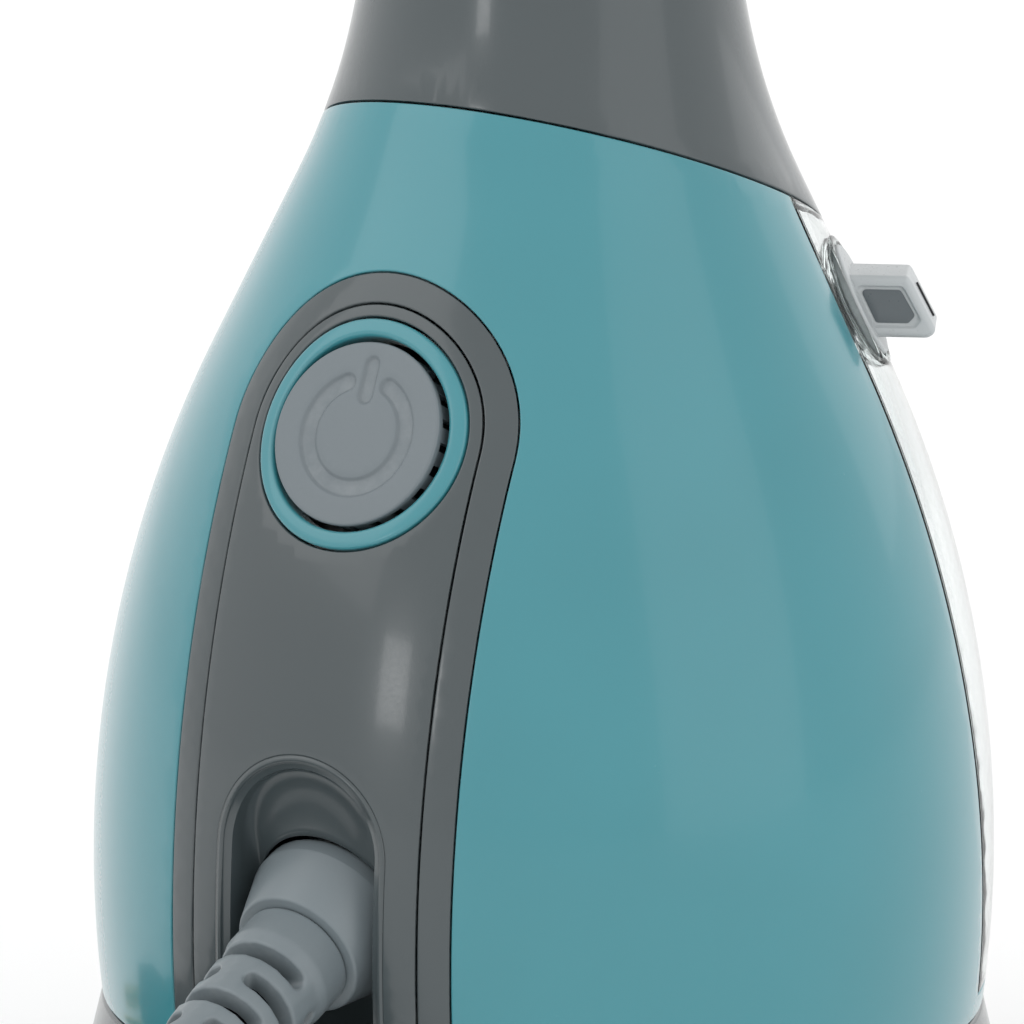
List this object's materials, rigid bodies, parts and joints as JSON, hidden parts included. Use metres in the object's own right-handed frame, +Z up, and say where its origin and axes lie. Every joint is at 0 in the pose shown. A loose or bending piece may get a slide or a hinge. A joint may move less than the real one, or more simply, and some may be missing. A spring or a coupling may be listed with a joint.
{
  "type": "wallpaper steamer",
  "caption": "Upright hand-held steam unit with a pear-shaped body, clear water tank, power button, swivelling mains lead, grip trigger and a push-on wallpaper plate.",
  "frame": {"origin": "on the floor under the body's upright axis, at the middle of the base", "axes": "+Z up along the body's axis; -Y towards the control panel and the mains lead; +Y towards the water tank and the steam plate; +X towards the filler stopper"},
  "size_m": [0.1945, 0.2695, 0.36],
  "materials": {
    "teal_plastic": "smooth gloss, teal",
    "slate_plastic": "smooth gloss, dark grey",
    "base_plastic": "fine matt",
    "button_plastic": "satin, light grey",
    "relief_plastic": "satin, light grey",
    "clear_plastic": "clear moulding",
    "inner_plastic": "matt, pale grey",
    "black_plastic": "matt",
    "cord_pvc": "glossy black sheath",
    "soft_rubber": "matt",
    "silicone_hose": "satin, milky",
    "cast_metal": "as cast",
    "steel": "bright",
    "brass_parts": "bright",
    "circuit_board": "solder mask"
  },
  "bodies": {
    "root": {"base_skirt": "slate_plastic", "base_plate": "base_plastic", "rubber_feet": "soft_rubber", "base_screws": "steel", "rear_shell": "teal_plastic", "tank_bulkhead": "inner_plastic", "water_tank": "clear_plastic", "tank_valve": "steel", "valve_seal": "soft_rubber", "neck_shell": "slate_plastic", "panel_bezel": "slate_plastic", "panel_inlay": "slate_plastic", "button_ring": "teal_plastic", "button_spring": "steel", "power_switch": "black_plastic", "cord_pocket": "slate_plastic", "cord_barrel": "relief_plastic", "barrel_retainer": "steel", "cord_clamp": "black_plastic", "terminal_block": "inner_plastic", "chassis": "base_plastic", "chassis_screws": "steel", "boiler": "cast_metal", "heating_element": "brass_parts", "thermostat": "black_plastic", "thermal_fuse": "steel", "pump": "black_plastic", "pump_mounts": "soft_rubber", "suction_hose": "silicone_hose", "pressure_hose": "silicone_hose", "steam_pipe": "steel", "pipe_clip": "black_plastic", "control_board": "circuit_board", "trigger_pin": "steel", "trigger_spring": "steel", "trigger_switch": "black_plastic", "head_shell": "slate_plastic", "head_screws": "steel", "steam_manifold": "inner_plastic", "nozzle_gasket": "soft_rubber", "nozzle_plate": "cast_metal", "cord_run": "cord_pvc", "cord_coil": "cord_pvc", "cord_tail": "cord_pvc", "plug_body": "black_plastic", "plug_pins": "brass_parts"},
    "power_button": {"power_button": "button_plastic"},
    "filler_stopper": {"filler_stopper": "button_plastic", "stopper_seal": "soft_rubber"},
    "strain_relief": {"strain_relief": "relief_plastic"},
    "trigger": {"trigger": "button_plastic"},
    "wallpaper_plate": {"wallpaper_plate": "clear_plastic"}
  },
  "joints": [
    {"name": "button_press", "type": "slide", "parent": "root", "child": "power_button", "axis": [0, 0.9114, -0.4115], "range_m": [0, 0.0012], "stiffness_N_per_m": 600, "deforming": ["button_spring"]},
    {"name": "stopper_pull", "type": "slide", "parent": "root", "child": "filler_stopper", "axis": [0.7936, 0.422, 0.4384], "range_m": [0, 0.02]},
    {"name": "relief_swivel", "type": "hinge", "parent": "root", "child": "strain_relief", "pos_m": [0, -0.0496, 0.0525], "axis": [0, -0.9272, -0.3746], "continuous": true},
    {"name": "trigger_squeeze", "type": "hinge", "parent": "root", "child": "trigger", "pos_m": [0, 0.013, 0.254], "axis": [-1, 0, 0], "range_deg": [0, 8], "stiffness_Nm_per_rad": 0.5, "deforming": ["trigger_spring"]},
    {"name": "plate_pull", "type": "slide", "parent": "root", "child": "wallpaper_plate", "axis": [0, 1, 0], "range_m": [0, 0.02]}
  ]
}
